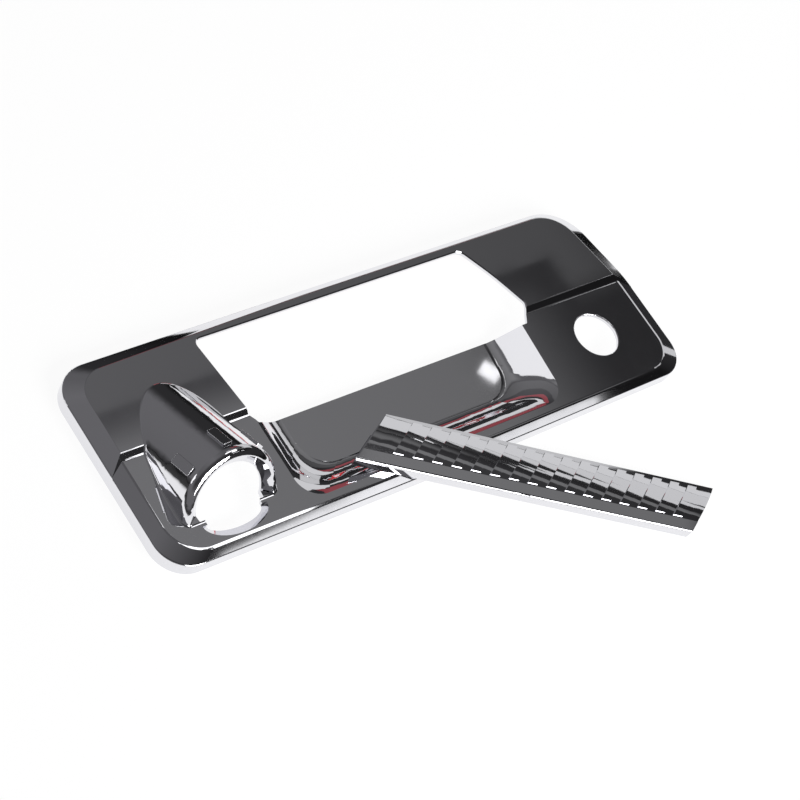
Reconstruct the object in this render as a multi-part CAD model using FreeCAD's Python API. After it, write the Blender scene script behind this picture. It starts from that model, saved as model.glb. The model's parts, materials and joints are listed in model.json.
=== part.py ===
import FreeCAD, Part
import math
import os

# Tailgate handle cover: a moulded bezel and the ribbed strip that covers the handle.
# X runs along the bezel with the camera pod at minus X, Y runs up the tailgate,
# Z points out of the tailgate. The bezel stands on its open back at z = 0.
# Millimetres. Overall length is assumed, everything else is scaled from the photograph.

os.makedirs("parts", exist_ok=True)

V = FreeCAD.Vector

# Shared values
WALL = 2.2                  # shell thickness of the bezel
EPS = 1.0                   # cutters run this far past the surface they open
STRAIGHT = 5000.0           # corner radius that leaves a side all but straight

# Bezel outline, corner coordinates and corner radii
HALF_LENGTH = 173.0
NEAR_Y = -36.0
FAR_Y = 79.7
LEFT_NEAR_R = 18.0
LEFT_FAR_R = 18.0
RIGHT_NEAR_R = 17.0
RIGHT_FAR_R = 26.0
RIGHT_BREAK_Y = 27.0        # the right end leans in above this line
RIGHT_BREAK_R = 60.0
RIGHT_LEAN = 10.0           # how far it has leant in at the far edge
NEAR_BOW = 0.7              # the near edge bulges this much at its middle
FAR_BOW = 0.4
FAR_BOW_X = -25.0

# Bezel heights
FACE_Z = 11.0               # upper face
STEP = 1.5                  # the lower face lies this much deeper
SHOULDER_Z = 7.4            # where the bevels meet the wall
STEP_NEAR_Y = 24.8          # foot of the ramp between the two faces
STEP_FAR_Y = 28.5           # top of the ramp

# Bevel widths in plan
BEVEL_END = 9.0
BEVEL_NEAR_END = 8.0
BEVEL_FAR = 4.2
BEVEL_FAR_LEFT = 7.2        # the far bevel widens to this at the left corner
BEVEL_NEAR = 5.0
CREASE_R = 16.0

# Rounded edges
UPPER_CREASE_R = 0.9
LOWER_CREASE_R = 4.5        # softer, it takes the long highlight along the near edge
SHOULDER_FILLET = 1.0
EDGE_ROUND = 0.6            # upper edge of the opening and of the lock hole
RAMP_FILLET = 2.0
RAMP_FOOT_R = 3.0

# Handle opening in plan
OPEN_FAR_Y = 71.2
OPEN_NEAR_Y = 19.8
OPEN_LEFT_FAR_X = -HALF_LENGTH + 78.0
OPEN_LEFT_MID_X = OPEN_LEFT_FAR_X + 5.0
OPEN_LEFT_NEAR_X = OPEN_LEFT_FAR_X + 7.4
OPEN_RIGHT_FAR_X = HALF_LENGTH - 92.4
OPEN_RIGHT_MID_X = OPEN_RIGHT_FAR_X + 17.4
OPEN_RIGHT_NEAR_X = OPEN_RIGHT_FAR_X + 11.4
OPEN_RIGHT_BOW = 1.3
OPEN_MID_Y = 31.0
OPEN_JOG_Y = 25.6

# Finger scoop: rim in plan, floor level, and rows of depth share with the
# distance from the rim at the left, right and near side
SCOOP_RIM_LEFT_X = OPEN_LEFT_FAR_X + 6.4
SCOOP_RIM_RIGHT_X = OPEN_RIGHT_FAR_X + 4.0
SCOOP_RIM_NEAR_Y = -26.6
SCOOP_RIM_R = 13.0
SCOOP_FLOOR_Z = 3.1
SCOOP_SPLAY = 4.6           # right rim edge leans out by this between near edge and opening
SCOOP_ROWS = (
    (0.00, 0.0, 0.0, 0.0),
    (0.07, 1.3, 1.2, 1.9),
    (0.28, 4.0, 4.9, 5.2),
    (0.62, 7.4, 11.3, 8.2),
    (0.92, 11.6, 17.6, 11.8),
    (1.00, 17.0, 24.0, 16.0),
)
PAN_GROW = 1.7              # the pan under the scoop is this much wider
PAN_DROP = 1.9              # and this much deeper
PAN_LEDGE = 4.0             # the pan runs this far under the opening

# Lock cylinder hole
LOCK_X = HALF_LENGTH - 44.5
LOCK_Y = 0.0
LOCK_R = 13.0

# Camera pod, laid out on a ring plane that leans back
POD_X = -HALF_LENGTH + 45.3
POD_FOOT_Y = -17.0
POD_LEAN = 30.0             # ring plane, degrees from upright
POD_FALL = 25.3             # ridge of the pod, degrees below level
POD_R = 27.6
POD_NOSE_R = 4.0            # rounding between pod and ring
POD_RISE = 4.8              # arch centre above the foot, in the ring plane
POD_LEG = 12.0
POD_REACH = 80.0
POD_WALL = 2.2
POD_BASE_FILLET = 1.2
POD_FRONT = 4.6             # thickness of the ring around the camera hole
CAMERA_R = 19.2
FUNNEL_R = 23.3
FUNNEL_DEPTH = 3.2
FUNNEL_SPLAY = 2.4          # how far the legs of the funnel spread towards their feet
NOTCH_A = 18.8              # half round notch in the face below the camera hole
NOTCH_B = 9.8
NOTCH_LIP_A = 2.8           # width of its sloping lip at the sides
NOTCH_LIP_B = 4.0           # and at the near end
NOTCH_DROP = 1.8            # depth of the lip
NOTCH_CHEEK = 2.2           # straight part between the ring and the lip
PAD_T = 0.9
PAD_LENGTH = 13.0
PAD_WIDTH = 5.5
PAD_SETBACK = 14.5          # from the ring plane to the middle of a pad
PAD_ANGLES = (-46.0, 0.0, 46.0)
PAD_CORNER_R = 0.9

# Handle strip in its own frame: x along the near edge, y across, z up
STRIP_L = 191.5
STRIP_W = 31.6
STRIP_SLANT = 0.6           # ends lean along x by this per millimetre of y
STRIP_H = 6.0
STRIP_T = 2.0
BEAD_W = 6.9
BEAD_R = 1.3
CREASE_DIP = 0.5
PANEL_END_H = 1.2           # height of the far edge
PANEL_SAG = 1.7             # bulge of the panel above its chord
RIB_FIRST = 15.3            # left side of the first rib on the crease line
RIB_PITCH = 10.72
RIB_WIDTH = 5.4
RIB_END_GAP = 9.5           # least distance from the last rib to the end
RIB_T = 0.9
RIB_SINK = 0.5              # root of the rib inside the panel
RIB_NEAR_GAP = 0.9          # from crease to rib foot
RIB_FAR_GAP = 2.6           # from rib end to far edge

# Where the strip lies: over the near rim, near right corner on the ground
STRIP_YAW = -31.93
STRIP_NEAR_X = -56.5
STRIP_NEAR_Y = -17.95
REST_Y = -29.0              # line of the near rim that carries it

# Adhesive tape
FOAM_T = 1.1
LINER_T = 0.15
TAPE_W = 5.0
TAPE_CLEAR = 0.8            # from tape to the edge or fillet next to it
TAPE_TOP_L = 236.0
TAPE_LEFT_L = 28.0
TAPE_RIGHT_FAR_L = 30.0
TAPE_RIGHT_NEAR_L = 52.0
TAPE_STRIP_W = 4.0
TAPE_STRIP_GAP = 5.5        # from the strip's end walls to its tape


def inset(corners, distance):
    """Move every side of a counter clockwise polygon inwards and shrink its radii."""
    count = len(corners)
    lines = []
    for i in range(count):
        ax, ay, _ = corners[i]
        bx, by, _ = corners[(i + 1) % count]
        length = math.hypot(bx - ax, by - ay)
        nx = -(by - ay) / length
        ny = (bx - ax) / length
        lines.append((nx, ny, nx * ax + ny * ay + distance))
    moved = []
    for i in range(count):
        n1 = lines[i - 1]
        n2 = lines[i]
        det = n1[0] * n2[1] - n1[1] * n2[0]
        x = (n1[2] * n2[1] - n1[1] * n2[2]) / det
        y = (n1[0] * n2[2] - n1[2] * n2[0]) / det
        turn_r = max(corners[i][2] - distance, 0.4)
        moved.append((x, y, turn_r))
    return moved


def loop(corners, z):
    """Closed wire of lines and corner arcs at height z."""
    count = len(corners)
    starts = []
    mids = []
    ends = []
    for i in range(count):
        px, py, _ = corners[i - 1]
        cx, cy, radius = corners[i]
        qx, qy, _ = corners[(i + 1) % count]
        c = V(cx, cy, z)
        a = (V(px, py, z) - c).normalize()
        b = (V(qx, qy, z) - c).normalize()
        half = a.getAngle(b) / 2.0
        reach = radius / math.tan(half)
        bisector = (a + b).normalize()
        centre = c + bisector * (radius / math.sin(half))
        starts.append(c + a * reach)
        ends.append(c + b * reach)
        mids.append(centre - bisector * radius)
    edges = []
    for i in range(count):
        edges.append(Part.Arc(starts[i], mids[i], ends[i]).toShape())
        after = starts[(i + 1) % count]
        if (after - ends[i]).Length > 1e-6:
            edges.append(Part.makeLine(ends[i], after))
    return Part.Wire(edges)


def prism(wire, height):
    return Part.Face(wire).extrude(V(0, 0, height))


def frustum(lower, upper):
    return Part.makeLoft([lower, upper], True, True)


def box(x0, x1, y0, y1, z0, z1):
    return Part.makeBox(x1 - x0, y1 - y0, z1 - z0, V(x0, y0, z0))


def outline():
    lean_x = HALF_LENGTH - RIGHT_LEAN
    return [
        (-HALF_LENGTH, NEAR_Y + NEAR_BOW, LEFT_NEAR_R),
        (0.0, NEAR_Y - NEAR_BOW, STRAIGHT),
        (HALF_LENGTH, NEAR_Y + NEAR_BOW, RIGHT_NEAR_R),
        (HALF_LENGTH, RIGHT_BREAK_Y, RIGHT_BREAK_R),
        (lean_x, FAR_Y - FAR_BOW, RIGHT_FAR_R),
        (FAR_BOW_X, FAR_Y, STRAIGHT),
        (-HALF_LENGTH, FAR_Y - FAR_BOW, LEFT_FAR_R),
    ]


def crease(level):
    """Edge between face and bevel; level 0 is the upper face, 1 the lower face."""
    end = BEVEL_NEAR_END if level else BEVEL_END
    lean_x = HALF_LENGTH - RIGHT_LEAN
    far_y = FAR_Y - BEVEL_FAR - level
    left_far_y = FAR_Y - BEVEL_FAR_LEFT - level
    return [
        (-HALF_LENGTH + end, NEAR_Y + BEVEL_NEAR + NEAR_BOW, CREASE_R + 3.0),
        (0.0, NEAR_Y + BEVEL_NEAR - NEAR_BOW, STRAIGHT),
        (HALF_LENGTH - end, NEAR_Y + BEVEL_NEAR + NEAR_BOW, CREASE_R + 1.0),
        (HALF_LENGTH - end, RIGHT_BREAK_Y, RIGHT_BREAK_R),
        (lean_x - end, far_y, CREASE_R + 4.0),
        (FAR_BOW_X, far_y, STRAIGHT / 4),
        (-HALF_LENGTH + end, left_far_y, CREASE_R - 1.0),
    ]


def ramp_y(z, depth):
    """Y of the ramp between the faces at height z, for a skin this deep."""
    run = (STEP_FAR_Y - STEP_NEAR_Y) / STEP
    return STEP_NEAR_Y + (z - (FACE_Z - STEP - depth)) * run


def on_level(edge, z):
    return all(abs(vertex.Z - z) < 1e-4 for vertex in edge.Vertexes)


def rounded(shape, z, radius):
    """Fillet all edges that lie on one level."""
    return shape.makeFillet(radius, [edge for edge in shape.Edges if on_level(edge, z)])


def bend(y, z, radius, way):
    """Start, middle and end of the arc that rounds the ramp where it meets a face."""
    angle = math.atan2(STEP, STEP_FAR_Y - STEP_NEAR_Y)
    reach = radius * math.tan(angle / 2)
    gap = radius * (1 / math.cos(angle / 2) - 1)
    flat = (y + way * reach, z)
    middle = (y + way * gap * math.sin(angle / 2), z - way * gap * math.cos(angle / 2))
    steep = (y - way * reach * math.cos(angle), z - way * reach * math.sin(angle))
    return [V(0, *point) for point in (steep, middle, flat)]


def ramp_cutter(low, depth):
    """Everything near of the ramp, with its top edge rounded on the outside skin."""
    high = FACE_Z + EPS
    near = NEAR_Y - 10.0
    half = HALF_LENGTH + 10.0
    foot = V(0, ramp_y(low, depth), low)
    if depth:
        bent = [V(0, ramp_y(high, depth), high)] * 3
    else:
        bent = bend(STEP_FAR_Y, FACE_Z, RAMP_FILLET, 1.0)
    top = V(0, bent[2].y, high)
    edges = [Part.makeLine(V(0, near, low), foot), Part.makeLine(foot, bent[0])]
    if not depth:
        edges += [Part.Arc(*bent).toShape(), Part.makeLine(bent[2], top)]
    edges += [Part.makeLine(top, V(0, near, high)), Part.makeLine(V(0, near, high), V(0, near, low))]
    blank = Part.Face(Part.Wire(edges))
    blank.translate(V(-half, 0, 0))
    return blank.extrude(V(2 * half, 0, 0))


def ramp_foot():
    """Fill that rounds the foot of the ramp between the end bevels."""
    half = HALF_LENGTH - BEVEL_END - EPS
    steep, middle, flat = bend(STEP_NEAR_Y, FACE_Z - STEP, RAMP_FOOT_R, -1.0)
    under = V(0, 0, -STEP / 2)
    edges = [
        Part.Arc(steep, middle, flat).toShape(),
        Part.makeLine(flat, flat + under),
        Part.makeLine(flat + under, steep + under),
        Part.makeLine(steep + under, steep)]
    blank = Part.Face(Part.Wire(edges))
    blank.translate(V(-half, 0, 0))
    return blank.extrude(V(2 * half, 0, 0))


def body(skin, floor_z):
    """Solid inside the bezel's skin; skin 0 is the outside, WALL the hollow."""
    ease = 0.6 * skin
    crease_in = 0.27 * skin
    foot = inset(outline(), skin)
    upper = prism(loop(foot, floor_z), SHOULDER_Z - ease - floor_z)
    upper = upper.fuse(frustum(
        loop(foot, SHOULDER_Z - ease),
        loop(inset(crease(0), crease_in), FACE_Z - skin)))
    if not skin:
        upper = rounded(upper, FACE_Z, UPPER_CREASE_R)
        upper = rounded(upper, SHOULDER_Z, SHOULDER_FILLET)
    upper = upper.cut(ramp_cutter(floor_z - EPS, skin * 1.08))
    lower = prism(loop(foot, floor_z), SHOULDER_Z - ease - floor_z)
    lower = lower.fuse(frustum(
        loop(foot, SHOULDER_Z - ease),
        loop(inset(crease(1), crease_in), FACE_Z - STEP - skin)))
    if not skin:
        lower = rounded(lower, FACE_Z - STEP, LOWER_CREASE_R)
        lower = rounded(lower, SHOULDER_Z, SHOULDER_FILLET).fuse(ramp_foot())
    return upper.fuse(lower).removeSplitter()


def scoop(grow, drop):
    """Finger scoop pocket, or with grow and drop the outside of the pan beneath it."""
    rim_z = FACE_Z - STEP
    deep = rim_z - SCOOP_FLOOR_Z
    far = OPEN_NEAR_Y + 12.0
    wires = []
    for share, left_in, right_in, near_in in SCOOP_ROWS:
        z = rim_z - share * deep - drop
        left = SCOOP_RIM_LEFT_X + left_in - grow
        right = SCOOP_RIM_RIGHT_X - right_in + grow
        near = SCOOP_RIM_NEAR_Y + near_in - grow
        corner = SCOOP_RIM_R + 0.2 * near_in + grow
        wires.append(loop([
            (left, near, corner),
            (right, near, corner),
            (right + SCOOP_SPLAY, far, 2.0),
            (left, far, 2.0)], z))
    bowl = Part.makeLoft(wires[::-1], True, False)
    top = Part.Face(wires[0]).extrude(V(0, 0, EPS if drop else FACE_Z - rim_z + EPS))
    return bowl.fuse(top)


def opening():
    jog = OPEN_NEAR_Y
    bow_x = (OPEN_RIGHT_MID_X + OPEN_RIGHT_FAR_X) / 2 + OPEN_RIGHT_BOW
    corners = [
        (OPEN_LEFT_NEAR_X, jog, 0.6),
        (OPEN_RIGHT_NEAR_X, jog, 0.6),
        (OPEN_RIGHT_NEAR_X + 3.6, OPEN_JOG_Y, 1.5),
        (OPEN_RIGHT_MID_X, OPEN_MID_Y, 3.0),
        (bow_x, (OPEN_MID_Y + OPEN_FAR_Y) / 2, 140.0),
        (OPEN_RIGHT_FAR_X, OPEN_FAR_Y, 6.0),
        (OPEN_LEFT_FAR_X, OPEN_FAR_Y, 3.5),
        (OPEN_LEFT_MID_X, OPEN_JOG_Y + 3.4, 2.0),
        (OPEN_LEFT_MID_X - 0.9, OPEN_JOG_Y, 1.0),
    ]
    hole = prism(loop(corners, -EPS), FACE_Z + 2.0 * EPS)
    flare = frustum(
        loop(corners, FACE_Z - EDGE_ROUND), loop(inset(corners, -EDGE_ROUND), FACE_Z + 0.01))
    return hole.fuse(flare)


def ring_point(x, s):
    """Point of the leaning ring plane, s measured up from its foot."""
    lean = math.radians(POD_LEAN)
    y = POD_FOOT_Y + s * math.sin(lean)
    z = FACE_Z - STEP + s * math.cos(lean)
    return V(POD_X + x, y, z)


def fall_direction():
    fall = math.radians(POD_FALL)
    return V(0, math.cos(fall), -math.sin(fall))


def ring_normal():
    lean = math.radians(POD_LEAN)
    return V(0, math.cos(lean), -math.sin(lean))


def horseshoe(radius, splay=0.0, leg=POD_LEG):
    """U shaped wire in the ring plane; splay spreads its legs towards their feet."""
    top = ring_point(0, POD_RISE + radius)
    left = ring_point(-radius, POD_RISE)
    right = ring_point(radius, POD_RISE)
    left_foot = ring_point(-radius - splay, -leg)
    right_foot = ring_point(radius + splay, -leg)
    return Part.Wire([
        Part.makeLine(left_foot, left),
        Part.Arc(left, top, right).toShape(),
        Part.makeLine(right, right_foot),
        Part.makeLine(right_foot, left_foot)])


def arch(radius, start, reach):
    """U shaped tunnel that runs back from the ring plane and dips into the face."""
    wire = horseshoe(radius)
    wire.translate(fall_direction() * start)
    return Part.Face(wire).extrude(fall_direction() * reach)


def pod():
    """Outside of the pod, rounded over towards the ring."""
    blank = arch(POD_R, 0.0, POD_REACH)
    foot = ring_point(0, -POD_LEG)
    nose = []
    for edge in blank.Edges:
        flat = all(abs((v.Point - foot).dot(ring_normal())) < 1e-5 for v in edge.Vertexes)
        if flat and edge.CenterOfMass.z > foot.z + EPS:
            nose.append(edge)
    return blank.makeFillet(POD_NOSE_R, nose)


def pod_base(shape):
    """Edges where the pod rises out of the faces and the ramp."""
    found = []
    reach = POD_R + EPS
    for edge in shape.Edges:
        bounds = edge.BoundBox
        beside = abs(bounds.Center.x - POD_X) < reach and bounds.YMax < OPEN_FAR_Y
        level = bounds.ZMin > FACE_Z - STEP - 0.01 and bounds.ZMax < FACE_Z + 0.01
        behind = bounds.YMin > POD_FOOT_Y - 0.01 and bounds.YLength > 0.01
        if beside and level and behind:
            found.append(edge)
    return found


def above(shape, z):
    size = 4 * HALF_LENGTH
    return shape.common(box(-size / 2, size / 2, -size / 2, size / 2, z, z + size))


def pod_pads():
    """Small raised blocks on top of the pod, just behind the ring."""
    pads = []
    root = POD_WALL / 2
    for angle in PAD_ANGLES:
        pad = Part.makeBox(PAD_WIDTH, PAD_LENGTH, root + PAD_T,
                           V(-PAD_WIDTH / 2, -PAD_LENGTH / 2, -root))
        pad = pad.makeFillet(PAD_CORNER_R, [e for e in pad.Edges if abs(e.tangentAt(0).z) > 0.9])
        top = [e for e in pad.Edges if on_level(e, PAD_T)]
        pad = pad.makeFillet(PAD_T / 3, top)
        pad.translate(V(0, 0, POD_R))
        pad.rotate(V(0, 0, 0), V(0, 1, 0), angle)
        pad.rotate(V(0, 0, 0), V(1, 0, 0), -POD_FALL)
        pad.translate(ring_point(0, POD_RISE) + fall_direction() * PAD_SETBACK)
        pads.append(pad)
    return pads


def ellipse(z, lip):
    """Level ellipse of the notch at the outer or, with lip 1, the inner edge of its lip."""
    centre = V(POD_X, POD_FOOT_Y - NOTCH_CHEEK, z)
    half_a = NOTCH_A - lip * NOTCH_LIP_A
    half_b = NOTCH_B - lip * NOTCH_LIP_B
    return Part.Wire(Part.Ellipse(centre, half_a, half_b).toShape())


def camera_cuts():
    centre = ring_point(0, POD_RISE)
    normal = ring_normal()
    edge_z = FACE_Z - STEP
    front = horseshoe(FUNNEL_R, FUNNEL_SPLAY, EPS)
    front.translate(normal * -0.01)
    back = horseshoe(CAMERA_R, 0.0, EPS)
    back.translate(normal * FUNNEL_DEPTH)
    funnel = above(Part.makeLoft([front, back], True, True), edge_z)
    bore = Part.makeCylinder(CAMERA_R, POD_FRONT + 6.0, centre, normal)
    bore = above(bore, edge_z - WALL - EPS)
    reach = NOTCH_A + EPS
    slot_y = POD_FOOT_Y - NOTCH_CHEEK
    lip = Part.makeLoft([ellipse(edge_z - NOTCH_DROP, 1), ellipse(edge_z, 0)], True, True)
    through = prism(ellipse(-EPS, 1), edge_z + 2 * EPS)
    near_side = box(POD_X - reach, POD_X + reach, slot_y - reach, slot_y, -EPS, edge_z + EPS)
    half = NOTCH_A - NOTCH_LIP_A
    cheeks = box(POD_X - half, POD_X + half, slot_y, POD_FOOT_Y + POD_FRONT,
                 -EPS, edge_z + POD_BASE_FILLET)
    return [funnel, bore, lip.fuse(through).common(near_side), cheeks]


def lock_cut():
    """Lock hole with its upper edge rounded."""
    edge_z = FACE_Z - STEP
    flare_z = edge_z - EDGE_ROUND
    hole = Part.makeCylinder(LOCK_R, FACE_Z + 2 * EPS, V(LOCK_X, LOCK_Y, -EPS))
    flare = Part.makeCylinder(LOCK_R + EDGE_ROUND, EDGE_ROUND + EPS, V(LOCK_X, LOCK_Y, flare_z))
    flare = flare.cut(Part.makeTorus(LOCK_R + EDGE_ROUND, EDGE_ROUND, V(LOCK_X, LOCK_Y, flare_z)))
    return hole.fuse(flare)


def make_bezel():
    edge_z = FACE_Z - STEP
    shell = body(0.0, 0.0).cut(body(WALL, -EPS))
    pan = scoop(PAN_GROW, PAN_DROP)
    pan = pan.common(box(-HALF_LENGTH, HALF_LENGTH, NEAR_Y + WALL, OPEN_NEAR_Y + PAN_LEDGE,
                         0, edge_z - STEP / 3))
    dome = above(pod(), edge_z - STEP / 3)
    shell = shell.fuse(dome).removeSplitter()
    shell = shell.makeFillet(POD_BASE_FILLET, pod_base(shell))
    shell = shell.fuse([pan] + [above(p, FACE_Z) for p in pod_pads()])
    tunnel = above(arch(POD_R - POD_WALL, POD_FRONT, POD_REACH), edge_z - WALL - 2.5)
    cuts = [scoop(0.0, 0.0), opening(), tunnel, lock_cut()] + camera_cuts()
    return shell.cut(cuts).removeSplitter()


def strip_profile(depth):
    """Cross section of the strip in its YZ plane; depth 0 outside, STRIP_T the hollow."""
    far = STRIP_W - depth
    top = STRIP_H - depth
    bead = BEAD_W + 0.3 * depth
    start = V(0, bead, top - CREASE_DIP)
    end = V(0, far, PANEL_END_H - depth)
    mid = (start + end) * 0.5 + V(0, 0.2, 1).normalize() * PANEL_SAG
    radius = BEAD_R if depth == 0 else 0.4
    knee = radius * (1 - math.sqrt(0.5))
    low = 0.0 if depth == 0 else -EPS
    edges = [
        Part.makeLine(V(0, depth, low), V(0, depth, top - radius)),
        Part.Arc(V(0, depth, top - radius), V(0, depth + knee, top - knee),
                 V(0, depth + radius, top)).toShape(),
        Part.makeLine(V(0, depth + radius, top), V(0, bead, top)),
        Part.makeLine(V(0, bead, top), start),
        Part.Arc(start, mid, end).toShape(),
        Part.makeLine(end, V(0, far, low)),
        Part.makeLine(V(0, far, low), V(0, depth, low)),
    ]
    return Part.Wire(edges), start, mid, end


def slanted(x0, x1, y0, y1, z0, z1):
    """Block whose ends follow the slant of the strip."""
    wire = Part.makePolygon([
        V(x0 + STRIP_SLANT * y0, y0, z0), V(x1 + STRIP_SLANT * y0, y0, z0),
        V(x1 + STRIP_SLANT * y1, y1, z0), V(x0 + STRIP_SLANT * y1, y1, z0),
        V(x0 + STRIP_SLANT * y0, y0, z0)])
    return Part.Face(wire).extrude(V(0, 0, z1 - z0))


def swept(wire):
    """Sweep a cross section past both slanted ends."""
    margin = STRIP_W
    blank = Part.Face(wire)
    blank.translate(V(-margin, 0, 0))
    return blank.extrude(V(STRIP_L + STRIP_SLANT * STRIP_W + 2 * margin, 0, 0))


def rib_starts():
    """Left sides of the ribs along the crease, as many as the strip has room for."""
    room = STRIP_L - RIB_FIRST - RIB_WIDTH - RIB_END_GAP
    return [RIB_FIRST + i * RIB_PITCH for i in range(int(room / RIB_PITCH) + 1)]


def end_wall():
    """Thickness of the strip's slanted ends measured along x."""
    return STRIP_T * math.hypot(1.0, STRIP_SLANT)


def make_strip():
    outer, start, mid, end = strip_profile(0.0)
    hollow = strip_profile(STRIP_T)[0]
    skin = swept(outer).common(slanted(0, STRIP_L, 0, STRIP_W, -EPS, STRIP_H + EPS))
    core = swept(hollow).common(slanted(
        end_wall(), STRIP_L - end_wall(), 0, STRIP_W, -2 * EPS, STRIP_H))
    up = V(0, 0.2, 1).normalize()
    lift = up * RIB_T
    sink = up * -RIB_SINK
    band = Part.Wire([
        Part.Arc(start + lift, mid + lift, end + lift).toShape(),
        Part.makeLine(end + lift, end + sink),
        Part.Arc(end + sink, mid + sink, start + sink).toShape(),
        Part.makeLine(start + sink, start + lift)])
    foot = BEAD_W + RIB_NEAR_GAP
    head = STRIP_W - RIB_FAR_GAP
    blocks = [slanted(x0, x0 + RIB_WIDTH, foot, head, -EPS, 2 * STRIP_H) for x0 in rib_starts()]
    ribs = swept(band).common(Part.makeCompound(blocks))
    return skin.cut(core).fuse(ribs).removeSplitter()


def rest_slope():
    """Slope of the strip's seat, from the near rim down to the ground corner."""
    yaw = math.radians(STRIP_YAW)
    corner_y = STRIP_NEAR_Y + STRIP_L * math.sin(yaw)
    return (FACE_Z - STEP) / (REST_Y - corner_y)


def lay_strip(shape):
    """Place something given in the strip's frame where the strip lies."""
    slope = rest_slope()
    tilt = math.atan(slope)
    normal = V(0, -math.sin(tilt), math.cos(tilt))
    yaw = math.radians(STRIP_YAW)
    u = V(math.cos(yaw), math.sin(yaw), 0)
    u = (u - normal * u.dot(normal)).normalize()
    v = normal.cross(u)
    z = FACE_Z - STEP + slope * (STRIP_NEAR_Y - REST_Y)
    frame = FreeCAD.Matrix(
        u.x, v.x, normal.x, STRIP_NEAR_X,
        u.y, v.y, normal.y, STRIP_NEAR_Y,
        u.z, v.z, normal.z, z,
        0, 0, 0, 1)
    return shape.transformGeometry(frame)


def tape_on_wall(x0, x1, z0, face_y, side):
    """Foam and liner on an upright wall; side is the way the liner faces along Y."""
    foam_y = sorted((face_y, face_y + side * FOAM_T))
    liner_y = sorted((face_y + side * FOAM_T, face_y + side * (FOAM_T + LINER_T)))
    foam = box(x0, x1, foam_y[0], foam_y[1], z0, z0 + TAPE_W)
    liner = box(x0, x1, liner_y[0], liner_y[1], z0, z0 + TAPE_W)
    return foam, liner


def tape_below(x0, x1, y0, y1, face_z):
    foam = box(x0, x1, y0, y1, face_z - FOAM_T, face_z)
    liner = box(x0, x1, y0, y1, face_z - FOAM_T - LINER_T, face_z - FOAM_T)
    return foam, liner


def make_tapes():
    upper_z = FACE_Z - WALL
    lower_z = FACE_Z - STEP - WALL
    middle = (OPEN_LEFT_FAR_X + OPEN_RIGHT_FAR_X) / 2
    half_top = TAPE_TOP_L / 2
    far_wall = FAR_Y - FAR_BOW - WALL
    left_x = -HALF_LENGTH + BEVEL_END + WALL
    near_y = NEAR_Y + BEVEL_NEAR + NEAR_BOW + WALL + 5 * TAPE_CLEAR
    mid_y = (STEP_FAR_Y + OPEN_FAR_Y) / 2
    tapes = {}
    tapes["top"] = tape_on_wall(
        middle - half_top, middle + half_top, TAPE_CLEAR, far_wall, -1.0)
    tapes["left"] = tape_below(
        left_x, left_x + TAPE_W, mid_y - TAPE_LEFT_L / 2, mid_y + TAPE_LEFT_L / 2, upper_z)
    tapes["right_far"] = tape_below(
        LOCK_X - 2 * LOCK_R, LOCK_X - 2 * LOCK_R + TAPE_RIGHT_FAR_L, mid_y, mid_y + TAPE_W, upper_z)
    tapes["right_near"] = tape_below(
        LOCK_X - TAPE_RIGHT_NEAR_L / 2, LOCK_X + TAPE_RIGHT_NEAR_L / 2,
        near_y, near_y + TAPE_W, lower_z)
    strip_y = STRIP_T + TAPE_CLEAR / 2
    far_y = strip_y + TAPE_STRIP_W
    foam, liner = tape_below(
        end_wall() + STRIP_SLANT * far_y + TAPE_STRIP_GAP,
        STRIP_L - end_wall() + STRIP_SLANT * strip_y - TAPE_STRIP_GAP,
        strip_y, far_y, STRIP_H - STRIP_T)
    tapes["strip"] = (lay_strip(foam), lay_strip(liner))
    return tapes


def main():
    pieces = {"bezel": make_bezel(), "handle_strip": lay_strip(make_strip())}
    for name, pair in make_tapes().items():
        pieces["foam_" + name] = pair[0]
        pieces["liner_" + name] = pair[1]
    bounds = FreeCAD.BoundBox()
    for shape in pieces.values():
        bounds.add(shape.optimalBoundingBox(False))
    shift = V(-bounds.Center.x, -bounds.Center.y, -bounds.ZMin)
    for name, shape in pieces.items():
        shape.translate(shift)
        print(name, "valid", shape.isValid(), "solids", len(shape.Solids),
              "volume %.0f" % shape.Volume, shape.BoundBox)
        shape.exportStep("parts/" + name + ".step")
    print("shift", shift)


main()
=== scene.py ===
"""Looks for the tailgate handle cover: finishes, studio cards and the camera."""

from __future__ import annotations

import json
import logging
import math
from dataclasses import dataclass, field
from enum import Enum

import bpy
from mathutils import Matrix, Vector

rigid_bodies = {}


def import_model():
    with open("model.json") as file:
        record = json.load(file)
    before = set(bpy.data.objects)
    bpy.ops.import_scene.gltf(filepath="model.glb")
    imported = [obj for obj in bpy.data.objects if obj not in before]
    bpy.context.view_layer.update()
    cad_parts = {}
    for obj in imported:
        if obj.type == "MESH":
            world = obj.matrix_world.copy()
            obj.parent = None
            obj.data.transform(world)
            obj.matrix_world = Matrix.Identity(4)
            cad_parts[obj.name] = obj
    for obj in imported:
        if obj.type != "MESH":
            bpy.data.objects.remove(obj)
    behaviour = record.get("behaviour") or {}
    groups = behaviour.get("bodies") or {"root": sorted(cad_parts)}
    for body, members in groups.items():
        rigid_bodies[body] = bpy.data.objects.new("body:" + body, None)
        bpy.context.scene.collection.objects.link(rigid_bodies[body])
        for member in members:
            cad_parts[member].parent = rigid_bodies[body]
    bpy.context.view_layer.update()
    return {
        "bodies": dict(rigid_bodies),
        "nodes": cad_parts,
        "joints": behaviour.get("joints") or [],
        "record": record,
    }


log = logging.getLogger("scene")

MM = 0.001
IMAGE_PX = 800
SENSOR_MM = 36.0
CARD_GAIN = math.pi
DOWN = (0.0, 0.0, -1.0)
WHITE = (1.0, 1.0, 1.0, 1.0)
TABLE_REACH = 6.0
TABLE_DROP = 0.0003

Pair = tuple[float, float]
Triple = tuple[float, float, float]


class Slot(str, Enum):
    """Material slots named in the record."""

    CHROME = "chrome_plate"
    FOAM = "foam_tape"
    LINER = "red_liner"


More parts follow.
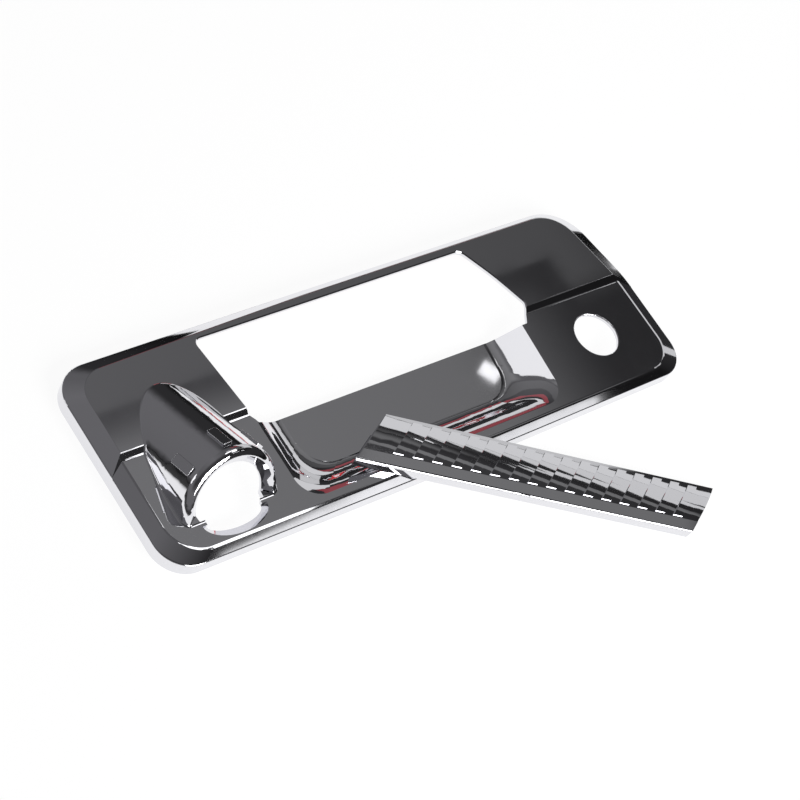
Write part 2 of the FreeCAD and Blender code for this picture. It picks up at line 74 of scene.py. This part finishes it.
@dataclass(frozen=True)
class Studio:
    """Levels of the room that the plating mirrors, as linear grey.

    Args:
        table: glow of the white table and backdrop.
        table_matt: matt part of the table, which takes the shadows.
        sheet: middle of the lit part of the table, in metres.
        sheet_half: its half axes, in metres.
        sheet_edge: share of the half axes over which it gives way to the dark floor.
        dark_floor: colour of the floor around the lit table.
        lit_floor: colour of the lit table where it takes light.
        low: stops over the sine of the elevation, from the horizon up.
        low_shade: span of the X part of the direction, and the scale of low at its ends.
        high: stops over the X part of the direction, for the room overhead.
        high_shade: span of the Y part of the direction, and the scale of high at its ends.
        blend: sine of the elevation where low gives way to high.
        tint: colour balance of the room.
    """

    table: float = 0.93
    table_matt: float = 0.14
    sheet: Pair = (0.27, -0.10)
    sheet_half: Pair = (0.50, 0.70)
    sheet_edge: float = 0.15
    dark_floor: float = 0.12
    lit_floor: float = 0.85
    low: tuple[Pair, ...] = (
        (0.0, 0.03), (0.05, 0.06), (0.12, 0.14), (0.45, 0.15))
    low_shade: tuple[Pair, Pair] = ((0.15, 0.45), (1.0, 0.2))
    high: tuple[Pair, ...] = (
        (0.0, 0.08), (0.45, 0.16), (0.58, 0.12), (0.73, 0.08),
        (0.80, 0.05), (0.84, 0.025), (1.0, 0.02))
    high_shade: tuple[Pair, Pair] = ((-0.35, 0.25), (0.35, 1.0))
    blend: Pair = (0.42, 0.62)
    tint: Triple = (1.0, 0.985, 1.03)


@dataclass(frozen=True)
class ChromeFinish:
    """Bright plating over moulded plastic.

    Args:
        colour: mirror tint, linear.
        roughness: even part of the roughness.
        haze: how much the noise adds to the roughness.
        haze_scale: scale of that noise in object space.
        haze_span: values of the noise between which the haze grows.
        ripple: bump height of the moulding's slow waves, in metres.
        ripple_scale: scale of those waves in object space.
    """

    colour: Triple = (0.79, 0.79, 0.82)
    roughness: float = 0.035
    haze: float = 0.03
    haze_scale: float = 60.0
    haze_span: Pair = (0.35, 0.8)
    ripple: float = 0.00002
    ripple_scale: float = 22.0

    def build(self, name: str) -> bpy.types.Material:
        """Make the plating.

        Args:
            name: material slot.

        Returns:
            The material.
        """
        sheet = MaterialSheet(name)
        shader = sheet.add("ShaderNodeBsdfPrincipled")
        shader.inputs["Base Color"].default_value = (*self.colour, 1.0)
        shader.inputs["Metallic"].default_value = 1.0
        place = sheet.add("ShaderNodeTexCoord").outputs["Object"]
        clouds = sheet.noise(place, self.haze_scale, detail=3.0)
        levels = (self.roughness, self.roughness + self.haze)
        sheet.link(sheet.spread(clouds, self.haze_span, levels), shader.inputs["Roughness"])
        waves = sheet.noise(place, self.ripple_scale, detail=1.0)
        sheet.link(sheet.bump(waves, self.ripple), shader.inputs["Normal"])
        return sheet.finish(shader.outputs["BSDF"])


@dataclass(frozen=True)
class FoamFinish:
    """Dark closed cell foam of the mounting tape.

    Args:
        colour: foam colour, linear.
        roughness: roughness of the foam.
        cell_scale: scale of the cells in object space.
        cell_depth: bump height of the cells, in metres.
        cell_strength: strength of that bump.
    """

    colour: Triple = (0.012, 0.012, 0.014)
    roughness: float = 0.85
    cell_scale: float = 1800.0
    cell_depth: float = 0.0001
    cell_strength: float = 0.5

    def build(self, name: str) -> bpy.types.Material:
        """Make the foam.

        Args:
            name: material slot.

        Returns:
            The material.
        """
        sheet = MaterialSheet(name)
        shader = sheet.add("ShaderNodeBsdfPrincipled")
        shader.inputs["Base Color"].default_value = (*self.colour, 1.0)
        shader.inputs["Roughness"].default_value = self.roughness
        place = sheet.add("ShaderNodeTexCoord").outputs["Object"]
        cells = sheet.noise(place, self.cell_scale, detail=2.0)
        bump = sheet.bump(cells, self.cell_depth, self.cell_strength)
        sheet.link(bump, shader.inputs["Normal"])
        return sheet.finish(shader.outputs["BSDF"])


@dataclass(frozen=True)
class LinerFinish:
    """Red release film on the tape.

    Args:
        colour: film colour, linear.
        roughness: roughness of the film.
        film_scale: scale of the uneven dye in object space.
        pale: share of the colour where the dye is thin.
    """

    colour: Triple = (0.72, 0.02, 0.03)
    roughness: float = 0.3
    film_scale: float = 140.0
    pale: float = 0.8

    def build(self, name: str) -> bpy.types.Material:
        """Make the film.

        Args:
            name: material slot.

        Returns:
            The material.
        """
        sheet = MaterialSheet(name)
        shader = sheet.add("ShaderNodeBsdfPrincipled")
        shader.inputs["Roughness"].default_value = self.roughness
        place = sheet.add("ShaderNodeTexCoord").outputs["Object"]
        film = sheet.noise(place, self.film_scale, detail=3.0)
        thin = tuple(self.pale * part for part in self.colour)
        sheet.link(sheet.ramp(film, ((0.0, thin), (1.0, self.colour))), shader.inputs["Base Color"])
        return sheet.finish(shader.outputs["BSDF"])


class NodeSheet:
    """Small helper around one node tree."""

    def __init__(self, tree: bpy.types.NodeTree) -> None:
        self.tree = tree

    def add(self, kind: str) -> bpy.types.Node:
        """Add a node.

        Args:
            kind: type name of the node.

        Returns:
            The new node.
        """
        return self.tree.nodes.new(kind)

    def link(self, source: bpy.types.NodeSocket, target: bpy.types.NodeSocket) -> None:
        """Join two sockets.

        Args:
            source: output socket.
            target: input socket.
        """
        self.tree.links.new(source, target)

    def sum(self, operation: str, *parts: bpy.types.NodeSocket | float) -> bpy.types.NodeSocket:
        """Work out one sum.

        Args:
            operation: name of the sum.
            parts: sockets or plain numbers that go in.

        Returns:
            Socket of the result.
        """
        node = self.add("ShaderNodeMath")
        node.operation = operation
        for part, target in zip(parts, node.inputs):
            if isinstance(part, float):
                target.default_value = part
            else:
                self.link(part, target)
        return node.outputs["Value"]

    def vector(self, operation: str, source: bpy.types.NodeSocket,
               other: Triple | None = None) -> bpy.types.Node:
        """Work out one sum on vectors.

        Args:
            operation: name of the sum.
            source: vector that goes in.
            other: fixed second vector, where the sum has one.

        Returns:
            The node.
        """
        node = self.add("ShaderNodeVectorMath")
        node.operation = operation
        self.link(source, node.inputs[0])
        if other is not None:
            node.inputs[1].default_value = other
        return node

    def split(self, source: bpy.types.NodeSocket) -> bpy.types.NodeOutputs:
        """Take a vector apart.

        Args:
            source: vector that goes in.

        Returns:
            Its X, Y and Z sockets.
        """
        node = self.add("ShaderNodeSeparateXYZ")
        self.link(source, node.inputs["Vector"])
        return node.outputs

    def spread(self, value: bpy.types.NodeSocket, span: Pair, levels: Pair,
               smooth: bool = False) -> bpy.types.NodeSocket:
        """Carry a value from one span to another.

        Args:
            value: socket that goes in.
            span: its two ends.
            levels: result at those ends.
            smooth: ease in and out at the ends.

        Returns:
            Socket of the result.
        """
        node = self.add("ShaderNodeMapRange")
        if smooth:
            node.interpolation_type = "SMOOTHSTEP"
        names = ("From Min", "From Max", "To Min", "To Max")
        for name, number in zip(names, (*span, *levels)):
            node.inputs[name].default_value = number
        self.link(value, node.inputs["Value"])
        return node.outputs["Result"]

    def ramp(self, value: bpy.types.NodeSocket,
             stops: tuple[tuple[float, Triple], ...]) -> bpy.types.NodeSocket:
        """Lay colours over a value.

        Args:
            value: socket that goes in.
            stops: places and their colours.

        Returns:
            Socket of the colour.
        """
        node = self.add("ShaderNodeValToRGB")
        elements = node.color_ramp.elements
        while len(elements) < len(stops):
            elements.new(0.5)
        for element, (position, colour) in zip(elements, stops):
            element.position = position
            element.color = (*colour, 1.0)
        self.link(value, node.inputs["Fac"])
        return node.outputs["Color"]

    def noise(self, place: bpy.types.NodeSocket, scale: float, detail: float) -> bpy.types.NodeSocket:
        """Lay a noise texture in object space.

        Args:
            place: coordinates.
            scale: scale of the noise.
            detail: number of finer layers.

        Returns:
            Socket of the noise value.
        """
        node = self.add("ShaderNodeTexNoise")
        node.inputs["Scale"].default_value = scale
        node.inputs["Detail"].default_value = detail
        self.link(place, node.inputs["Vector"])
        return node.outputs["Fac"]

    def bump(self, height: bpy.types.NodeSocket, depth: float,
             strength: float = 1.0) -> bpy.types.NodeSocket:
        """Turn a height into a bumped normal.

        Args:
            height: socket that goes in.
            depth: height of the bumps, in metres.
            strength: share of the bump that shows.

        Returns:
            Socket of the normal.
        """
        node = self.add("ShaderNodeBump")
        node.inputs["Strength"].default_value = strength
        node.inputs["Distance"].default_value = depth
        self.link(height, node.inputs["Height"])
        return node.outputs["Normal"]

    def mix_shader(self, share: bpy.types.NodeSocket, first: bpy.types.NodeSocket,
                   second: bpy.types.NodeSocket) -> bpy.types.NodeSocket:
        """Mix two shaders.

        Args:
            share: share of the second one.
            first: first shader.
            second: second shader.

        Returns:
            Socket of the mixed shader.
        """
        node = self.add("ShaderNodeMixShader")
        for source, target in zip((share, first, second), node.inputs):
            self.link(source, target)
        return node.outputs["Shader"]


class MaterialSheet(NodeSheet):
    """Node tree of one new material."""

    def __init__(self, name: str) -> None:
        self.material = bpy.data.materials.new(name)
        self.material.use_nodes = True
        super().__init__(self.material.node_tree)
        self.tree.nodes.clear()

    def finish(self, surface: bpy.types.NodeSocket) -> bpy.types.Material:
        """Connect the surface.

        Args:
            surface: socket of the last shader.

        Returns:
            The material.
        """
        output = self.add("ShaderNodeOutputMaterial")
        self.link(surface, output.inputs["Surface"])
        return self.material


@dataclass
class PhotoCamera:
    """Camera solved from the straight edges and the round lock hole in the photograph.

    Args:
        place_mm: camera centre in the row frame.
        right: image right in the row frame.
        up: image up in the row frame.
        focal_px: focal length in pixels of the 800 pixel image.
        clip: nearest and farthest distance, in metres.
    """

    place_mm: Triple = (-705.7, -308.75, 873.5)
    right: Triple = (0.74690738, -0.53299299, 0.3975523)
    up: Triple = (0.2830443, 0.79586892, 0.53523694)
    focal_px: float = 2329.305
    clip: Pair = (0.05, 20.0)

    def build(self) -> bpy.types.Object:
        """Create the camera and make it the scene's camera.

        Returns:
            The camera object.
        """
        data = bpy.data.cameras.new("camera")
        data.sensor_width = SENSOR_MM
        data.lens = self.focal_px * SENSOR_MM / IMAGE_PX
        data.clip_start, data.clip_end = self.clip
        camera = bpy.data.objects.new("camera", data)
        bpy.context.scene.collection.objects.link(camera)
        right = Vector(self.right).normalized()
        up = Vector(self.up).normalized()
        back = right.cross(up)
        turn = Matrix((right, up, back)).transposed().to_4x4()
        camera.matrix_world = Matrix.Translation(Vector(self.place_mm) * MM) @ turn
        bpy.context.scene.camera = camera
        return camera


@dataclass(frozen=True)
class Card:
    """A soft light that the plating mirrors as a bright patch.

    Args:
        name: object name.
        centre: middle of the card in metres.
        facing: direction in which it shines.
        size: width along X, or along Y for a standing card, and the other side, in metres.
        level: brightness that a mirror shows, linear.
        soft: share of each half side over which the brightness fades out.
        turn: rotation of the card about its own axis, degrees.
        colour: tint of the light.
    """

    name: str
    centre: Triple
    facing: Triple
    size: Pair
    level: float
    soft: float = 0.0
    turn: float = 0.0
    colour: Triple = (1.0, 1.0, 1.0)

    def build(self) -> bpy.types.Object:
        """Create the area light.

        Returns:
            The light object.
        """
        data = bpy.data.lights.new(self.name, "AREA")
        data.shape = "RECTANGLE"
        data.size, data.size_y = self.size
        data.energy = self.level * self.size[0] * self.size[1] * CARD_GAIN
        data.color = self.colour
        lamp = bpy.data.objects.new(self.name, data)
        bpy.context.scene.collection.objects.link(lamp)
        away = -Vector(self.facing).normalized()
        side = Vector((1.0, 0.0, 0.0)) if abs(away.x) < 0.7 else Vector((0.0, 1.0, 0.0))
        side = (side - away * side.dot(away)).normalized()
        turn = Matrix((side, away.cross(side), away)).transposed().to_4x4()
        spin = Matrix.Rotation(math.radians(self.turn), 4, "Z")
        lamp.matrix_world = Matrix.Translation(Vector(self.centre)) @ turn @ spin
        if self.soft > 0.0:
            self._fade(data)
        return lamp

    def _fade(self, data: bpy.types.AreaLight) -> None:
        """Let the brightness fade towards the sides, like a softbox."""
        data.use_nodes = True
        sheet = NodeSheet(data.node_tree)
        glow = next(node for node in data.node_tree.nodes if node.type == "EMISSION")
        place = sheet.split(sheet.add("ShaderNodeNewGeometry").outputs["Parametric"])
        parts = []
        for axis in ("X", "Y"):
            off = sheet.sum("ABSOLUTE", sheet.sum("SUBTRACT", place[axis], 0.5))
            parts.append(sheet.spread(off, (0.5 * (1.0 - self.soft), 0.5), (1.0, 0.0), smooth=True))
        sheet.link(sheet.sum("MULTIPLY", *parts), glow.inputs["Strength"])


@dataclass
class Room:
    """White table, dark room behind the camera and the soft lights.

    Args:
        studio: levels of the room.
        cards: lights that the plating mirrors.
    """

    studio: Studio = field(default_factory=Studio)
    cards: tuple[Card, ...] = (
        Card("scoop_card", (0.166, 0.258, 0.7), DOWN, (0.105, 0.08), 0.88),
        Card("spot_card", (0.361, 0.156, 0.35), DOWN, (0.015, 0.015), 1.2, turn=30.0),
        Card("liner_card", (1.03, 1.14, 1.0), DOWN, (0.6, 0.34), 0.25, colour=(1.0, 0.10, 0.14)),
        Card("crease_card", (0.188, -0.005, 0.5), DOWN, (0.116, 0.25), 1.8, soft=0.06),
        Card("corner_card", (0.07, 0.045, 0.5), DOWN, (0.12, 0.09), 1.8, soft=0.06),
        Card("bevel_card_left", (0.665, -0.553, 1.0), DOWN, (0.28, 0.10), 1.1, soft=0.02, turn=1.5),
        Card("bevel_card_right", (1.01, -0.552, 1.0), DOWN, (0.18, 0.10), 1.0, soft=0.02),
        Card("bead_card", (0.84, 0.04, 1.0), DOWN, (0.48, 0.11), 0.15, soft=0.2, turn=-29.6),
        Card("face_card", (0.67, 0.375, 1.0), DOWN, (0.84, 0.26), 0.12, soft=0.5),
        Card("far_face_card", (0.72, 0.60, 1.0), DOWN, (1.1, 0.34), 0.05, soft=0.3),
        Card("panel_card_left", (0.93, 0.305, 1.0), DOWN, (0.14, 0.11), 0.65),
        Card("panel_card_mid", (1.15, 0.255, 1.0), DOWN, (0.30, 0.11), 0.65),
        Card("panel_card_low", (1.21, 0.145, 1.0), DOWN, (0.18, 0.11), 0.65),
        Card("panel_card_right", (1.95, 0.42, 1.0), DOWN, (1.30, 0.44), 0.65),
        Card("far_panel_card", (2.15, 1.42, 1.0), DOWN, (1.62, 1.56), 0.7, soft=0.02),
        Card("end_card", (2.96, 2.05, 0.5), (-1.0, 0.0, 0.0), (1.3, 1.0), 0.6, soft=0.1),
        Card("left_fill", (-1.35, 0.85, 0.55), (0.85, -0.5, -0.2), (0.35, 0.5), 1.2, soft=0.1),
        Card("near_fill", (0.2, -1.5, 0.9), (0.0, 0.8, -0.5), (1.2, 0.8), 8.0),
    )

    def build(self) -> None:
        """Create world, floor and lights."""
        self._world()
        self._floor()
        for card in self.cards:
            card.build()

    def _shaded(self, sheet: NodeSheet, stops: tuple[Pair, ...], value: bpy.types.NodeSocket,
                side: bpy.types.NodeSocket, shade: tuple[Pair, Pair]) -> bpy.types.NodeSocket:
        """Lay the room's greys over one value and darken them over another.

        Args:
            sheet: node tree of the world.
            stops: places and greys.
            value: socket that the stops lie over.
            side: socket that the shade lies over.
            shade: span of that socket and the scale at its ends.

        Returns:
            Socket of the colour.
        """
        tint = self.studio.tint
        colours = tuple((place, tuple(grey * part for part in tint)) for place, grey in stops)
        scale = sheet.vector("SCALE", sheet.ramp(value, colours))
        sheet.link(sheet.spread(side, *shade, smooth=True), scale.inputs["Scale"])
        return scale.outputs["Vector"]

    def _world(self) -> None:
        """Make the dark room that the plating mirrors, white where the camera looks past it."""
        studio = self.studio
        world = bpy.data.worlds.new("room")
        bpy.context.scene.world = world
        world.use_nodes = True
        world.node_tree.nodes.clear()
        sheet = NodeSheet(world.node_tree)
        way = sheet.split(sheet.add("ShaderNodeTexCoord").outputs["Generated"])
        across = sheet.spread(way["X"], (-1.0, 1.0), (0.0, 1.0))
        both = sheet.add("ShaderNodeMix")
        both.data_type = "RGBA"
        sheet.link(sheet.spread(way["Z"], studio.blend, (0.0, 1.0)), both.inputs["Factor"])
        low = self._shaded(sheet, studio.low, way["Z"], way["X"], studio.low_shade)
        high = self._shaded(sheet, studio.high, across, way["Y"], studio.high_shade)
        # inputs 6 and 7 and output 2 are the Mix node's colours
        sheet.link(low, both.inputs[6])
        sheet.link(high, both.inputs[7])
        room = sheet.add("ShaderNodeBackground")
        sheet.link(both.outputs[2], room.inputs["Color"])
        white = sheet.add("ShaderNodeBackground")
        white.inputs["Color"].default_value = WHITE
        path = sheet.add("ShaderNodeLightPath").outputs
        shown = sheet.mix_shader(path["Is Camera Ray"], room.outputs["Background"],
                                 white.outputs["Background"])
        sheet.link(shown, sheet.add("ShaderNodeOutputWorld").inputs["Surface"])

    def _floor(self) -> None:
        """Make the table, whose lit middle the plating mirrors, with the object's shadow on it."""
        studio = self.studio
        mesh = bpy.data.meshes.new("table")
        corners = ((-1, -1), (1, -1), (1, 1), (-1, 1))
        mesh.from_pydata([(x * TABLE_REACH, y * TABLE_REACH, -TABLE_DROP) for x, y in corners],
                         [], [(0, 1, 2, 3)])
        table = bpy.data.objects.new("table", mesh)
        bpy.context.scene.collection.objects.link(table)
        sheet = MaterialSheet("table_white")
        path = sheet.add("ShaderNodeLightPath").outputs
        place = sheet.add("ShaderNodeTexCoord").outputs["Object"]
        off = sheet.vector("SUBTRACT", place, (*studio.sheet, 0.0))
        share = sheet.vector("DIVIDE", off.outputs["Vector"], (*studio.sheet_half, 1.0))
        far = sheet.vector("LENGTH", share.outputs["Vector"]).outputs["Value"]
        lit = sheet.spread(far, (1.0, 1.0 + studio.sheet_edge), (1.0, 0.0), smooth=True)
        mirrored = sheet.sum("MULTIPLY", path["Is Glossy Ray"], lit)
        seen = sheet.sum("MAXIMUM", path["Is Camera Ray"], path["Is Transmission Ray"])
        seen = sheet.sum("MAXIMUM", seen, mirrored)
        matt = sheet.add("ShaderNodeBsdfDiffuse")
        sheet.link(sheet.spread(lit, (0.0, 1.0), (studio.dark_floor, studio.lit_floor)),
                   matt.inputs["Color"])
        faint = sheet.add("ShaderNodeBsdfDiffuse")
        faint.inputs["Color"].default_value = (*(3 * (studio.table_matt,)), 1.0)
        glow = sheet.add("ShaderNodeEmission")
        glow.inputs["Color"].default_value = WHITE
        glow.inputs["Strength"].default_value = studio.table
        white = sheet.add("ShaderNodeAddShader")
        sheet.link(faint.outputs["BSDF"], white.inputs[0])
        sheet.link(glow.outputs["Emission"], white.inputs[1])
        surface = sheet.mix_shader(seen, matt.outputs["BSDF"], white.outputs["Shader"])
        table.data.materials.append(sheet.finish(surface))


@dataclass
class Cover:
    """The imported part, dressed in its finishes.

    Args:
        frame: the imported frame.
        finishes: finish of each material slot.
    """

    frame: dict
    finishes: dict[Slot, ChromeFinish | FoamFinish | LinerFinish] = field(default_factory=lambda: {
        Slot.CHROME: ChromeFinish(),
        Slot.FOAM: FoamFinish(),
        Slot.LINER: LinerFinish(),
    })

    def build(self) -> None:
        """Put a finish on every node."""
        made = {slot: finish.build(slot.value) for slot, finish in self.finishes.items()}
        slots = {part["node"]: part["material_slot"] for part in self.frame["record"]["subparts"]}
        for name, node in self.frame["nodes"].items():
            node.data.materials.clear()
            node.data.materials.append(made[Slot(slots[name])])
            log.info("%s is dressed as %s", name, slots[name])


def main() -> None:
    """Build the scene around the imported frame."""
    logging.basicConfig(level=logging.INFO)
    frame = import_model()
    bpy.context.scene.view_settings.view_transform = "Standard"
    Cover(frame).build()
    Room().build()
    PhotoCamera().build()


if __name__ == "__main__":
    main()
